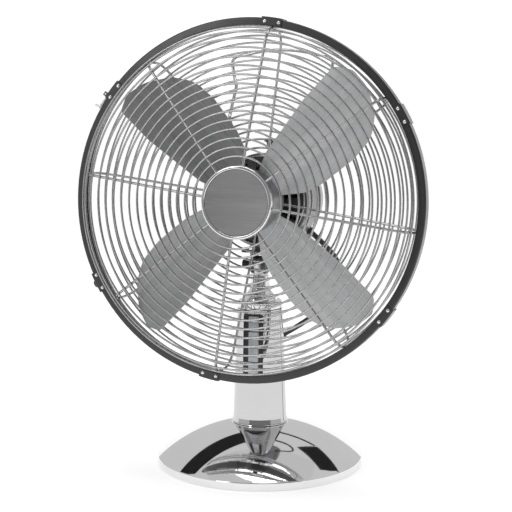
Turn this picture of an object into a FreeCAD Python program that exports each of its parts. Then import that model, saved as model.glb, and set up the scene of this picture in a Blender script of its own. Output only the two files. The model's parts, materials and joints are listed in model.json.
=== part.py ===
import FreeCAD, Part
import math
import os

# Desk fan on a chromed stand.  Millimetres, +Z up, the fan blows towards -Y.
# Origin: centre of the stand's footprint, on the surface it stands on.

Vec = FreeCAD.Vector

# ---------------------------------------------------------------- driving dimensions
BASE_R = 105.0            # outer radius of the foot dome
LIP_BOTTOM_Z = 1.2        # the dome's lip stays this far off the table
LIP_TOP_Z = 8.5           # the dome starts here
SHEET = 1.5               # pressed steel of the foot dome
FOOT_R = 29.0             # radius of the bead at the column's foot
FOOT_Z = 43.0             # height at which the dome meets that bead

COLUMN_LOW_R = 27.6       # column radius just above its foot
COLUMN_TOP_R = 23.0       # column radius under its cap
COLUMN_LOW_Z = 44.6
COLUMN_TOP_Z = 160.6
COLUMN_WALL = 2.0
SEAM_ANGLE = 78.0         # the front shell spans this much either side of the front
SEAM_GAP = 1.6            # degrees left open at each seam

PANEL_W = 20.8            # key panel on the column's front
PANEL_H = 67.0
PANEL_Z = 123.6           # height of the panel's middle
PANEL_SET = 21.0          # distance of the panel's face from the column's axis
KEY_W = 10.4
KEY_H = 14.6
KEY_PITCH = 15.8
KEY_COUNT = 4
KEY_PROUD = 1.2           # keys stand this far out of the panel's face

TUBE_R = 6.0              # steel tube inside the column
NECK_TOP_Z = 194.0
HINGE_Z = 204.5           # height of the tilt hinge
TILT = 4.0                # degrees the head looks up at rest
RUNNING = 0.05            # radial clearance of a running fit

AXIS_H = 65.5             # fan axis above the tilt hinge
AXIS_X = 7.0              # the fan axis passes this far beside the swing pivot

RING_R = 175.0            # outer radius of the trim ring
RING_LIP_R = 167.7        # inner radius of the ring's lips
RING_FRONT_Y = -74.6      # front of the ring, from the swing pivot
RING_DEPTH = 14.5
RING_WALL = 1.2

FRONT_Y = -97.0           # spoke line of the front guard at its middle
FRONT_FALL = 8.9          # how far that line falls back towards the rim
FRONT_BEND = 14.0         # radius of the spokes' bend into the rim
REAR_Y = -23.6            # spoke line of the rear guard at its middle
REAR_FALL = 12.4
REAR_BEND = 20.0
FLAT_R = 50.0             # the guards are flat inside this radius
FALL_RUN = 95.0           # the fall is measured over this radius
SPOKE_END_R = 165.9
RIM_R = 168.6             # centre line of each guard's rim wire
SPOKE_WIRE_R = 1.3
RING_WIRE_R = 1.0
RIM_WIRE_R = 1.5
SPOKE_COUNT = 8
SPOKE_TURN = 37.0         # angle of the first spoke, seen from the front
RING_FIRST_R = 43.6
RING_PITCH = 8.5
RING_COUNT = 13
CORNER_RINGS = [154.0, 160.4, 165.0]  # radii of the rings on the bend

CLIP_ANGLES = [142.8, 82.3, 29.5, -36.4, -100.9, -150.9]
LATCH_ANGLE = 142.8
CLIP_HALF = 3.3           # half the angle a clip spans

BADGE_R = 35.3
BADGE_FACE_R = 31.2

BLADE_Y = -60.6           # mid plane of the blades
BLADE_COUNT = 4
BLADE_TURN = 45.0
BLADE_SHEET = 1.2
HUB_R = 30.0
SHAFT_R = 4.0

MOTOR_R = 47.0
MOTOR_REAR_R = 40.0
MOTOR_FRONT_Y = -19.9
MOTOR_SPLIT_Y = 22.0
MOTOR_REAR_Y = 70.0
MOTOR_WALL = 1.8

GEAR_X = -13.4            # vertical gear shaft, from the fan axis
GEAR_Y = 49.5
CRANK_Z = 19.0            # crank disc, above the tilt hinge
CRANK_R = 8.8             # throw of the crank pin
LINK_PIN = (-14.6, -1.7)  # where the link is pinned to the tilt bracket

LEAD_R = 2.75

# ---------------------------------------------------------------- drawing helpers


def place_tilt(shape):
    """Move a shape from the tilt frame (origin on the tilt hinge) to the world."""
    moved = shape.copy()
    moved.rotate(Vec(0, 0, 0), Vec(1, 0, 0), -TILT)
    moved.translate(Vec(0, 0, HINGE_Z))
    return moved


def place_head(shape):
    """Move a shape from the head frame (origin on the fan axis) to the world."""
    moved = shape.copy()
    moved.translate(Vec(AXIS_X, 0, AXIS_H))
    return place_tilt(moved)


def place_panel(shape):
    """Move a shape from the panel frame (y into the column) to the world."""
    lean = math.degrees(math.atan((COLUMN_LOW_R - COLUMN_TOP_R) / (COLUMN_TOP_Z - COLUMN_LOW_Z)))
    moved = shape.copy()
    moved.rotate(Vec(0, 0, 0), Vec(1, 0, 0), -lean)
    moved.translate(Vec(0, -PANEL_SET, PANEL_Z))
    return moved


def rounded_wire(corners, to_3d):
    """Closed wire through (a, b, radius) corners, each rounded by its radius."""
    spans = []
    count = len(corners)
    for i in range(count):
        a, b, radius = corners[i]
        here = Vec(a, b, 0)
        before = Vec(corners[i - 1][0], corners[i - 1][1], 0)
        after = Vec(corners[(i + 1) % count][0], corners[(i + 1) % count][1], 0)
        if radius == 0:
            spans.append((here, None, here))
            continue
        to_before = (before - here).normalize()
        to_after = (after - here).normalize()
        half = to_before.getAngle(to_after) / 2
        reach = radius / math.tan(half)
        middle = (to_before + to_after).normalize()
        start = here + to_before * reach
        end = here + to_after * reach
        top = here + middle * (radius / math.sin(half) - radius)
        spans.append((start, top, end))
    edges = []
    for i in range(count):
        start, top, end = spans[i]
        if top is not None:
            arc = Part.Arc(to_3d(start), to_3d(top), to_3d(end))
            edges.append(arc.toShape())
        following = spans[(i + 1) % count][0]
        if end.distanceToPoint(following) > 1e-6:
            edges.append(Part.LineSegment(to_3d(end), to_3d(following)).toShape())
    return Part.Wire(edges)


def lathe_z(corners):
    """Turned piece about the Z axis from (radius, z, rounding) corners."""
    face = Part.Face(rounded_wire(corners, lambda p: Vec(p.x, 0, p.y)))
    return face.revolve(Vec(0, 0, 0), Vec(0, 0, 1), 360)


def lathe_y(corners):
    """Turned piece about the fan axis from (radius, y, rounding) corners."""
    face = Part.Face(rounded_wire(corners, lambda p: Vec(p.x, p.y, 0)))
    return face.revolve(Vec(0, 0, 0), Vec(0, 1, 0), 360)


def slab(corners, y_from, y_to):
    """Plate with an outline in the XZ plane, between two depths."""
    wire = rounded_wire(corners, lambda p: Vec(p.x, y_from, p.y))
    return Part.Face(wire).extrude(Vec(0, y_to - y_from, 0))


def block(x_low, y_low, z_low, x_high, y_high, z_high):
    return Part.makeBox(x_high - x_low, y_high - y_low, z_high - z_low, Vec(x_low, y_low, z_low))


def rod(radius, start, end):
    return Part.makeCylinder(radius, (end - start).Length, start, end - start)


def ring_tube(radius, wire_radius, y):
    """One wire ring about the fan axis."""
    return Part.makeTorus(radius, wire_radius, Vec(0, y, 0), Vec(0, 1, 0))


def turned(shape, angle):
    """Turn a shape about the fan axis, anticlockwise seen from the front."""
    moved = shape.copy()
    moved.rotate(Vec(0, 0, 0), Vec(0, 1, 0), -angle)
    return moved


def fuse_all(shapes):
    return shapes[0].multiFuse(shapes[1:]).removeSplitter()


def bent_rod(points, radii, wire_radius):
    """Round bar along straight runs joined by tangent arcs; returns it and its length."""
    edges = []
    last = points[0]
    for i in range(1, len(points) - 1):
        corner = points[i]
        to_before = (points[i - 1] - corner).normalize()
        to_after = (points[i + 1] - corner).normalize()
        half = to_before.getAngle(to_after) / 2
        reach = radii[i - 1] / math.tan(half)
        middle = (to_before + to_after).normalize()
        start = corner + to_before * reach
        end = corner + to_after * reach
        top = corner + middle * (radii[i - 1] / math.sin(half) - radii[i - 1])
        edges.append(Part.LineSegment(last, start).toShape())
        edges.append(Part.Arc(start, top, end).toShape())
        last = end
    edges.append(Part.LineSegment(last, points[-1]).toShape())
    path = Part.Wire(edges)
    section = Part.Wire([Part.makeCircle(wire_radius, points[0], points[1] - points[0])])
    bar = path.makePipeShell([section], True, True, 2)
    return bar, path.Length


def export(node, shape):
    shape.exportStep("parts/" + node + ".step")
    print(node, len(shape.Solids), "valid" if shape.isValid() else "NOT VALID", round(shape.Volume))


# ---------------------------------------------------------------- stand


def dome_centre_z():
    """Centre height of the sphere through the lip's top and the foot bead."""
    return (BASE_R ** 2 + LIP_TOP_Z ** 2 - FOOT_R ** 2 - FOOT_Z ** 2) / (2 * (LIP_TOP_Z - FOOT_Z))


def dome_z(radius, inset=0.0):
    """Height of the dome's surface, or of a surface that far under it."""
    centre = dome_centre_z()
    sphere_r = math.hypot(BASE_R, LIP_TOP_Z - centre) - inset
    return centre + math.sqrt(sphere_r ** 2 - radius ** 2)


def foot_dome():
    hole_r = 13.0
    inner_r = BASE_R - SHEET
    middle_r = 62.0
    lip_low_out = Vec(BASE_R, 0, LIP_BOTTOM_Z)
    lip_top_out = Vec(BASE_R, 0, LIP_TOP_Z)
    hole_out = Vec(hole_r, 0, dome_z(hole_r))
    hole_in = Vec(hole_r, 0, dome_z(hole_r, SHEET))
    lip_top_in = Vec(inner_r, 0, dome_z(inner_r, SHEET))
    lip_low_in = Vec(inner_r, 0, LIP_BOTTOM_Z)
    edges = [
        Part.LineSegment(lip_low_out, lip_top_out).toShape(),
        Part.Arc(lip_top_out, Vec(middle_r, 0, dome_z(middle_r)), hole_out).toShape(),
        Part.LineSegment(hole_out, hole_in).toShape(),
        Part.Arc(hole_in, Vec(middle_r, 0, dome_z(middle_r, SHEET)), lip_top_in).toShape(),
        Part.LineSegment(lip_top_in, lip_low_in).toShape(),
        Part.LineSegment(lip_low_in, lip_low_out).toShape(),
    ]
    dome = Part.Face(Part.Wire(edges)).revolve(Vec(0, 0, 0), Vec(0, 0, 1), 360)
    rim_length = 2 * math.pi * BASE_R
    rim_edge = [e for e in dome.Edges if abs(e.Length - rim_length) < 0.01 and e.BoundBox.ZMin > 5]
    dome = dome.makeFillet(1.6, rim_edge)
    return dome.cut(rod(GLAND_R + 0.1, Vec(0, 80, GLAND_Z), Vec(0, 120, GLAND_Z)))


GLAND_R = 2.9
GLAND_Z = 5.2


def cord_gland():
    barrel = rod(GLAND_R, Vec(0, 98, GLAND_Z), Vec(0, 108, GLAND_Z))
    flange = rod(GLAND_R + 0.9, Vec(0, BASE_R + 0.1, GLAND_Z), Vec(0, BASE_R + 1.6, GLAND_Z))
    bore = rod(1.9, Vec(0, 90, GLAND_Z), Vec(0, 112, GLAND_Z))
    return barrel.fuse(flange).cut(bore)


def ring_of(shape, count, turn=0.0):
    """Compound of equal pieces spaced evenly about the Z axis."""
    copies = []
    for i in range(count):
        piece = shape.copy()
        piece.rotate(Vec(0, 0, 0), Vec(0, 0, 1), turn + i * 360.0 / count)
        copies.append(piece)
    return Part.makeCompound(copies)


PLATE_LOW_Z = 1.9
PLATE_TOP_Z = 3.4
WEIGHT_TOP_Z = 10.0


def base_plate():
    plate = lathe_z([(TUBE_R + 1, PLATE_LOW_Z, 0), (102.9, PLATE_LOW_Z, 0), (102.9, PLATE_TOP_Z, 0),
                     (TUBE_R + 1, PLATE_TOP_Z, 0)])
    relief = block(-5, 96, 0, 5, 110, 9)
    holes = ring_of(rod(1.7, Vec(SCREW_PCR, 0, 0), Vec(SCREW_PCR, 0, 8)), 4, 45)
    return plate.cut(relief).cut(holes)


SCREW_PCR = 60.0


def base_screws():
    head = rod(3.4, Vec(SCREW_PCR, 0, 0.7), Vec(SCREW_PCR, 0, PLATE_LOW_Z))
    shank = rod(1.6, Vec(SCREW_PCR, 0, PLATE_LOW_Z), Vec(SCREW_PCR, 0, 8.4))
    return ring_of(head.fuse(shank), 4, 45)


def rubber_foot():
    """One non-slip ring round the underside."""
    return lathe_z([(90.5, PLATE_LOW_Z, 0), (91, 0, 0.4), (97, 0, 0.4), (97.5, PLATE_LOW_Z, 0)])


def ballast():
    weight = lathe_z([(22, PLATE_TOP_Z, 0), (80, PLATE_TOP_Z, 0), (78, WEIGHT_TOP_Z, 2),
                      (22, WEIGHT_TOP_Z, 1)])
    holes = ring_of(rod(1.65, Vec(SCREW_PCR, 0, 0), Vec(SCREW_PCR, 0, 20)), 4, 45)
    return weight.cut(holes)


def column_foot():
    """Turned bead between the dome and the column."""
    seat_z = dome_z(FOOT_R)
    inner_r = FOOT_R - 5
    bead = lathe_z([(inner_r, dome_z(inner_r) + 0.3, 0), (FOOT_R - 0.6, seat_z + 0.35, 0),
                    (FOOT_R + 0.1, seat_z + 0.9, 0.3),
                    (FOOT_R - 0.2, COLUMN_LOW_Z - 0.1, 0.3), (inner_r, COLUMN_LOW_Z - 0.1, 0)])
    return bead.cut(Part.makeSphere(math.hypot(BASE_R, LIP_TOP_Z - dome_centre_z()) + 0.02,
                                    Vec(0, 0, dome_centre_z())))


def column_radius(z):
    """Outer radius of the tapered column, with the small flare at its foot."""
    share = (z - COLUMN_LOW_Z) / (COLUMN_TOP_Z - COLUMN_LOW_Z)
    return COLUMN_LOW_R + (COLUMN_TOP_R - COLUMN_LOW_R) * share


def column_tube():
    flare_z = COLUMN_LOW_Z + 5
    corners = [(FOOT_R - 0.6, COLUMN_LOW_Z + 0.05, 0), (column_radius(flare_z), flare_z, 6),
               (COLUMN_TOP_R, COLUMN_TOP_Z, 0),
               (COLUMN_TOP_R - COLUMN_WALL, COLUMN_TOP_Z, 0), (column_radius(flare_z) - COLUMN_WALL,
                                                               flare_z, 0),
               (column_radius(flare_z) - COLUMN_WALL, COLUMN_LOW_Z + 0.05, 0)]
    return lathe_z(corners)


def sector(half_angle):
    """Wedge about the Z axis, open towards the front by that angle each way."""
    reach = 60.0
    tip = Vec(0, 0, 0)
    sides = [tip]
    steps = 6
    for i in range(steps + 1):
        angle = math.radians(-half_angle + 2 * half_angle * i / steps)
        sides.append(Vec(reach * math.sin(angle), -reach * math.cos(angle), 0))
    sides.append(tip)
    return Part.Face(Part.makePolygon(sides)).extrude(Vec(0, 0, 200))


def panel_opening(margin):
    half_w = PANEL_W / 2 + margin
    half_h = PANEL_H / 2 + margin
    corner = 3.0 + margin
    hole = slab([(-half_w, -half_h, corner), (half_w, -half_h, corner), (half_w, half_h, corner),
                 (-half_w, half_h, corner)], -15, 12)
    return place_panel(hole)


def column_front_shell():
    shell = column_tube().common(sector(SEAM_ANGLE - SEAM_GAP / 2))
    return shell.cut(panel_opening(0.15))


def column_rear_shell():
    shell = column_tube().cut(sector(SEAM_ANGLE + SEAM_GAP / 2))
    return shell.cut(rod(LEAD_R + 1.25, *lead_gland_line(-6, 6)))


def column_cap():
    """Cap over both shells, with the neck's seat."""
    rim_z = COLUMN_TOP_Z + 0.5
    return lathe_z([(TUBE_R + RUNNING, rim_z, 0), (COLUMN_TOP_R - 0.2, rim_z, 0.6),
                    (COLUMN_TOP_R - 0.6, rim_z + 7.4, 1.6),
                    (TUBE_R + RUNNING, rim_z + 7.4, 0)])


def stand_tube():
    outer = rod(TUBE_R, Vec(0, 0, PLATE_LOW_Z + 0.1), Vec(0, 0, NECK_TOP_Z - 10))
    return outer.cut(rod(TUBE_R - 1.5, Vec(0, 0, 0), Vec(0, 0, NECK_TOP_Z)))


def tube_nut():
    """Hexagonal nut that clamps the stand tube to the base plate."""
    corners = []
    for i in range(7):
        angle = math.radians(60 * i)
        corners.append(Vec(11 * math.cos(angle), 11 * math.sin(angle), PLATE_TOP_Z))
    body = Part.Face(Part.makePolygon(corners)).extrude(Vec(0, 0, 6))
    return body.cut(rod(TUBE_R + RUNNING, Vec(0, 0, 0), Vec(0, 0, 20)))


def neck():
    """Flared chrome neck on the cap, ending in a flat lug for the tilt hinge."""
    seat_z = COLUMN_TOP_Z + 7.9
    bell = lathe_z([(TUBE_R + RUNNING, seat_z, 0), (17.4, seat_z, 0.6), (16.6, seat_z + 3, 1.5),
                    (10.6, seat_z + 11, 14),
                    (9.2, NECK_TOP_Z, 0.8), (TUBE_R + RUNNING, NECK_TOP_Z, 0)])
    core = rod(TUBE_R + 1, Vec(0, 0, NECK_TOP_Z - 9.5), Vec(0, 0, NECK_TOP_Z))
    lug = rod(9.0, Vec(-LUG_HALF, 0, HINGE_Z), Vec(LUG_HALF, 0, HINGE_Z))
    web = block(-LUG_HALF, -7, NECK_TOP_Z - 1, LUG_HALF, 7, HINGE_Z)
    body = fuse_all([bell, core, lug, web])
    return body.cut(rod(TILT_BOLT_R + RUNNING, Vec(-20, 0, HINGE_Z), Vec(20, 0, HINGE_Z)))


LUG_HALF = 3.6
TILT_BOLT_R = 2.5

# ---------------------------------------------------------------- keys and switch


def switch_bezel():
    half_w = PANEL_W / 2
    half_h = PANEL_H / 2
    face = slab([(-half_w, -half_h, 3), (half_w, -half_h, 3), (half_w, half_h, 3), (-half_w, half_h, 3)],
                0, 3)
    window_w = KEY_W / 2 + 0.3
    window_h = KEY_PITCH * (KEY_COUNT - 1) / 2 + KEY_H / 2 + 0.3
    window = slab([(-window_w, -window_h, 0.8), (window_w, -window_h, 0.8), (window_w, window_h, 0.8),
                   (-window_w, window_h, 0.8)], -1, 4)
    lip = slab([(-half_w, -half_h, 3), (half_w, -half_h, 3), (half_w, half_h, 3), (-half_w, half_h, 3)],
               -1.0, 0)
    lip = lip.cut(slab([(-half_w + 1, -half_h + 1, 2), (half_w - 1, -half_h + 1, 2),
                        (half_w - 1, half_h - 1, 2),
                        (-half_w + 1, half_h - 1, 2)], -2, 1))
    return place_panel(face.cut(window).fuse(lip).removeSplitter())


def key_cap(index):
    """One key: a pillowed cap with a stem towards the switch."""
    z_mid = (index - (KEY_COUNT - 1) / 2) * KEY_PITCH
    half_w = KEY_W / 2
    half_h = KEY_H / 2
    cap = slab([(-half_w, -half_h, 0.8), (half_w, -half_h, 0.8), (half_w, half_h, 0.8),
                (-half_w, half_h, 0.8)],
               -KEY_PROUD, 4.0)
    front = [e for e in cap.Edges if e.BoundBox.YMax < -KEY_PROUD + 0.01]
    cap = cap.makeFillet(0.7, front)
    stem = block(-2, 4.0, -2, 2, 5.6, 2)
    piece = cap.fuse(stem).removeSplitter()
    piece.translate(Vec(0, 0, z_mid))
    return place_panel(piece)


def switch_block():
    body = block(-8, 9.2, -31, 8, 13.6, 31)
    return place_panel(body)


# ---------------------------------------------------------------- tilt bracket


def tilt_bracket():
    """Fork over the neck's lug, with the post the head swings on."""
    ears = []
    for side in (-1, 1):
        near = side * (LUG_HALF + 0.4)
        far = side * (LUG_HALF + 4.4)
        ear = rod(9.2, Vec(near, 0, 0), Vec(far, 0, 0))
        cheek = block(min(near, far), -7.5, 0, max(near, far), 7.5, 12)
        ears.append(ear)
        ears.append(cheek)
    hub = fuse_all([rod(10.5, Vec(0, 0, 10.6), Vec(0, 0, 14.4)), rod(6.6, Vec(0, 0, 14), Vec(0, 0, 16.6))])
    post = rod(POST_R, Vec(0, 0, 16), Vec(0, 0, 30.6))
    arm = link_plate(Vec(0, 0, 11.8), Vec(LINK_PIN[0], LINK_PIN[1], 11.8), 4.6, 2.4)
    pin = rod(1.8, Vec(LINK_PIN[0], LINK_PIN[1], 12.2), Vec(LINK_PIN[0], LINK_PIN[1], 16.6))
    body = fuse_all(ears + [hub, post, arm, pin])
    groove = rod(POST_R + 1, Vec(0, 0, 28.4), Vec(0, 0, 29.6)).cut(rod(POST_R - 0.8, Vec(0, 0, 28),
                                                                       Vec(0, 0, 30)))
    bolt_hole = rod(TILT_BOLT_R + RUNNING, Vec(-20, 0, 0), Vec(20, 0, 0))
    return place_tilt(body.cut(groove).cut(bolt_hole))


POST_R = 6.0


def link_plate(start, end, half_width, thickness):
    """Flat bar with round ends between two upright pivots."""
    along = (end - start).normalize()
    side = Vec(-along.y, along.x, 0) * half_width
    bar = Part.Face(Part.makePolygon([start + side, end + side, end - side, start - side, start + side]))
    up = Vec(0, 0, thickness)
    ends = [rod(half_width, start, start + up), rod(half_width, end, end + up)]
    return fuse_all([bar.extrude(up)] + ends)


def pivot_clip():
    """Spring clip in the post's groove."""
    disc = rod(POST_R + 2.2, Vec(0, 0, 28.5), Vec(0, 0, 29.5))
    mouth = block(-2.2, 0, 28, 2.2, 12, 30)
    return place_tilt(disc.cut(rod(POST_R - 0.75, Vec(0, 0, 28), Vec(0, 0, 30))).cut(mouth))


def tilt_bolt():
    """Bolt through fork and lug; its head is on the right, its thread on the left."""
    head = rod(4.6, Vec(LUG_HALF + 4.5, 0, 0), Vec(LUG_HALF + 7.5, 0, 0))
    shank = rod(TILT_BOLT_R, Vec(-LUG_HALF - 7.5, 0, 0), Vec(LUG_HALF + 5, 0, 0))
    return place_tilt(head.fuse(shank).removeSplitter())


def tilt_knob():
    """Round hand knob that clamps the tilt hinge."""
    near = -(LUG_HALF + 4.7)
    far = near - 9.8
    grip = rod(4.4, Vec(near, 0, 0), Vec(far, 0, 0))
    end_edge = [e for e in grip.Edges if e.BoundBox.XMax < far + 0.01]
    grip = grip.makeFillet(1.2, end_edge)
    for i in range(12):
        angle = math.radians(30 * i)
        centre = Vec(0, 4.75 * math.cos(angle), 4.75 * math.sin(angle))
        grip = grip.cut(rod(0.7, centre + Vec(near - 2, 0, 0), centre + Vec(far - 1, 0, 0)))
    return place_tilt(grip.cut(rod(TILT_BOLT_R + RUNNING, Vec(near + 1, 0, 0), Vec(-LUG_HALF - 7.7, 0, 0))))

# ---------------------------------------------------------------- guards


def guard_line(radius, middle_y, fall):
    """Depth of a guard's spoke line at a radius, on its flat and sloping part."""
    return middle_y + fall * max(0.0, radius - FLAT_R) / FALL_RUN


def guard_bend(middle_y, fall, bend):
    """Centre of the spokes' bend into the rim, and the way it turns: 1 backwards, -1 forwards."""
    slope = math.atan(fall / FALL_RUN)
    start_r = SPOKE_END_R - bend * (1 - math.sin(abs(slope)))
    back = 1 if fall > 0 else -1
    centre_y = guard_line(start_r, middle_y, fall) + back * bend * math.cos(slope)
    return SPOKE_END_R - bend, centre_y, back


def bend_depth(radius, middle_y, fall, bend, lift):
    """Depth of the bend at a radius, lifted outwards off the spoke line."""
    centre_r, centre_y, back = guard_bend(middle_y, fall, bend)
    return centre_y - back * math.sqrt((bend + lift) ** 2 - (radius - centre_r) ** 2)


def guard_spoke(inner_r, middle_y, fall, bend, end_y):
    """One spoke: flat, sloping back, then bent into the rim."""
    rim_corner = Vec(SPOKE_END_R, guard_line(SPOKE_END_R, middle_y, fall), 0)
    points = [Vec(inner_r, middle_y, 0), Vec(FLAT_R, middle_y, 0), rim_corner, Vec(SPOKE_END_R, end_y, 0)]
    spoke, length = bent_rod(points, [60.0, bend], SPOKE_WIRE_R)
    return spoke


def guard_wires(inner_r, middle_y, fall, bend, end_y, rim_y, outward):
    """All the wires of one guard: spokes, rings on their outer side, and the rim."""
    weld = SPOKE_WIRE_R + RING_WIRE_R - 0.5
    pieces = []
    spoke = guard_spoke(inner_r, middle_y, fall, bend, end_y)
    for i in range(SPOKE_COUNT):
        pieces.append(turned(spoke, SPOKE_TURN + i * 360.0 / SPOKE_COUNT))
    for i in range(RING_COUNT):
        radius = RING_FIRST_R + RING_PITCH * i
        pieces.append(ring_tube(radius, RING_WIRE_R, guard_line(radius, middle_y, fall) + outward * weld))
    for radius in CORNER_RINGS:
        pieces.append(ring_tube(radius, RING_WIRE_R, bend_depth(radius, middle_y, fall, bend, weld)))
    pieces.append(ring_tube(RIM_R, RIM_WIRE_R, rim_y))
    return pieces


def front_guard():
    seat_y = RING_FRONT_Y + RING_WALL + RIM_WIRE_R + 0.1
    wires = guard_wires(12.0, FRONT_Y, FRONT_FALL, FRONT_BEND, seat_y + 1.0, seat_y, -1)
    return place_head(fuse_all(wires))


def rear_guard():
    seat_y = RING_FRONT_Y + RING_DEPTH - RING_WALL - RIM_WIRE_R - 0.1
    wires = guard_wires(19.0, REAR_Y, -REAR_FALL, REAR_BEND, seat_y - 1.0, seat_y, 1)
    plate = lathe_y([(PLATE_BORE_R, REAR_Y - 0.9, 0), (24, REAR_Y - 0.9, 0), (24, REAR_Y + 0.7, 0),
                     (PLATE_BORE_R, REAR_Y + 0.7, 0)])
    return place_head(fuse_all(wires + [plate]))


PLATE_BORE_R = 13.1


def trim_ring():
    """Channel-shaped band that holds both rims."""
    back_y = RING_FRONT_Y + RING_DEPTH
    outer = [(RING_LIP_R, RING_FRONT_Y, 0.5), (RING_R, RING_FRONT_Y, 1.6), (RING_R, back_y, 1.6),
             (RING_LIP_R, back_y, 0.5)]
    inner = [(RING_LIP_R, back_y - RING_WALL, 0), (RING_R - RING_WALL, back_y - RING_WALL, 0.6),
             (RING_R - RING_WALL, RING_FRONT_Y + RING_WALL, 0.6), (RING_LIP_R, RING_FRONT_Y + RING_WALL, 0)]
    return place_head(lathe_y(outer + inner))


def clip_piece(angle):
    """Sheet clip wrapped over the trim ring."""
    gap = 0.05
    thick = 1.1
    front = RING_FRONT_Y - gap
    back = RING_FRONT_Y + RING_DEPTH + gap
    low = RING_LIP_R + 0.8
    high = RING_R + gap
    corners = [(low, front - thick, 0), (high + thick, front - thick, 0.9),
               (high + thick, back + thick, 0.9),
               (low, back + thick, 0), (low, back, 0), (high, back, 0), (high, front, 0), (low, front, 0)]
    face = Part.Face(rounded_wire(corners, lambda p: Vec(p.x, p.y, 0)))
    body = face.revolve(Vec(0, 0, 0), Vec(0, 1, 0), 2 * CLIP_HALF)
    return turned(body, angle + CLIP_HALF)


def ring_clips():
    """The six clips; the one at the latch carries the lever's two lugs."""
    clips = [clip_piece(a) for a in CLIP_ANGLES if a != LATCH_ANGLE]
    clips.append(fuse_all([clip_piece(LATCH_ANGLE)] + latch_lugs()))
    return place_head(Part.makeCompound(clips))


def clip_rivets():
    heads = []
    rivet_r = 171.6
    front = RING_FRONT_Y - 1.15
    for angle in CLIP_ANGLES:
        for side in (-2.3, 2.3):
            dome = Part.makeSphere(2.0, Vec(rivet_r, front + 1.1, 0))
            dome = dome.cut(block(rivet_r - 5, front, -5, rivet_r + 5, front + 9, 5))
            heads.append(turned(dome, angle + side))
    return place_head(Part.makeCompound(heads))


def latch_lugs():
    """Two drilled lugs for the latch lever's pin."""
    low = RING_R + 0.6
    y_mid = RING_FRONT_Y + RING_DEPTH / 2
    lugs = []
    for y in (y_mid - 5.2, y_mid + 3.2):
        lug = block(low, y, -2, low + 4.8, y + 2, 2)
        lug = lug.cut(rod(0.8 + RUNNING, Vec(LATCH_HINGE_R, y - 1, 0), Vec(LATCH_HINGE_R, y + 3, 0)))
        lugs.append(turned(lug, LATCH_ANGLE + LATCH_HINGE_TURN))
    return lugs


LATCH_HINGE_TURN = 2.6
LATCH_HINGE_R = RING_R + 3.6


def latch_lever():
    """Lever that lies along the ring, with a finger tab."""
    y_mid = RING_FRONT_Y + RING_DEPTH / 2
    knuckle = rod(1.5, Vec(LATCH_HINGE_R, y_mid - 3.0, 0), Vec(LATCH_HINGE_R, y_mid + 3.0, 0))
    pin = rod(0.8, Vec(LATCH_HINGE_R, y_mid - 5.0, 0), Vec(LATCH_HINGE_R, y_mid + 5.0, 0))
    low = RING_R + 1.9
    bar = block(low, y_mid - 2.8, 0, low + 1.3, y_mid + 2.8, 15)
    neck_piece = block(low, y_mid - 2.8, 0, LATCH_HINGE_R, y_mid + 2.8, 1.2)
    tab = block(low, y_mid - 2.8, 15, low + 6.0, y_mid + 2.8, 16.2)
    body = fuse_all([knuckle, pin, bar, neck_piece, tab])
    return place_head(turned(body, LATCH_ANGLE + LATCH_HINGE_TURN))


def ring_screw():
    """Socket screw that draws the trim ring tight, low on the left."""
    axis_r = RING_R + 1.2
    y_mid = RING_FRONT_Y + RING_DEPTH / 2
    head = rod(3.5, Vec(axis_r, y_mid, 0), Vec(axis_r + 4.0, y_mid, 0))
    outer = [e for e in head.Edges if e.BoundBox.XMin > axis_r + 3.9]
    head = head.makeFillet(0.6, outer)
    corners = []
    for i in range(7):
        angle = math.radians(60 * i)
        corners.append(Vec(axis_r + 2, y_mid + 1.8 * math.cos(angle), 1.8 * math.sin(angle)))
    socket = Part.Face(Part.makePolygon(corners)).extrude(Vec(4, 0, 0))
    return place_head(turned(head.cut(socket), CLIP_ANGLES[-1]))

# ---------------------------------------------------------------- badge


def badge_rim():
    front = FRONT_Y - 4.6
    back = FRONT_Y - SPOKE_WIRE_R - 0.05
    return place_head(lathe_y([(BADGE_FACE_R, back, 0), (BADGE_R, back, 0.4), (BADGE_R - 0.8, front, 1.4),
                               (BADGE_FACE_R + 0.4, front, 0.8)]))


def badge_disc():
    """Slightly dished face plate inside the rim."""
    edge_y = FRONT_Y - 3.6
    back = FRONT_Y - SPOKE_WIRE_R - 0.05
    outer_r = BADGE_FACE_R - 0.05
    dish_r = ((outer_r - 0.6) ** 2 + 1.0) / 2
    disc = rod(outer_r, Vec(0, back, 0), Vec(0, edge_y, 0))
    dish = Part.makeSphere(dish_r, Vec(0, edge_y + 1.0 - dish_r, 0))
    return place_head(disc.cut(dish))


def badge_plate():
    """Backing plate that clamps the spokes to the badge."""
    near = FRONT_Y + SPOKE_WIRE_R + 0.05
    return place_head(lathe_y([(0, near, 0), (33, near, 0), (33, near + 1.4, 0.4), (0, near + 1.4, 0)]))


def badge_screws():
    """Four screws through plate and badge, between the spokes."""
    near = FRONT_Y + SPOKE_WIRE_R + 1.45
    screws = []
    for i in range(4):
        head = rod(2.8, Vec(20, near, 0), Vec(20, near + 1.8, 0))
        screws.append(turned(head, SPOKE_TURN + 22.5 + 90 * i))
    return place_head(Part.makeCompound(screws))

# ---------------------------------------------------------------- carry handle


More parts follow.
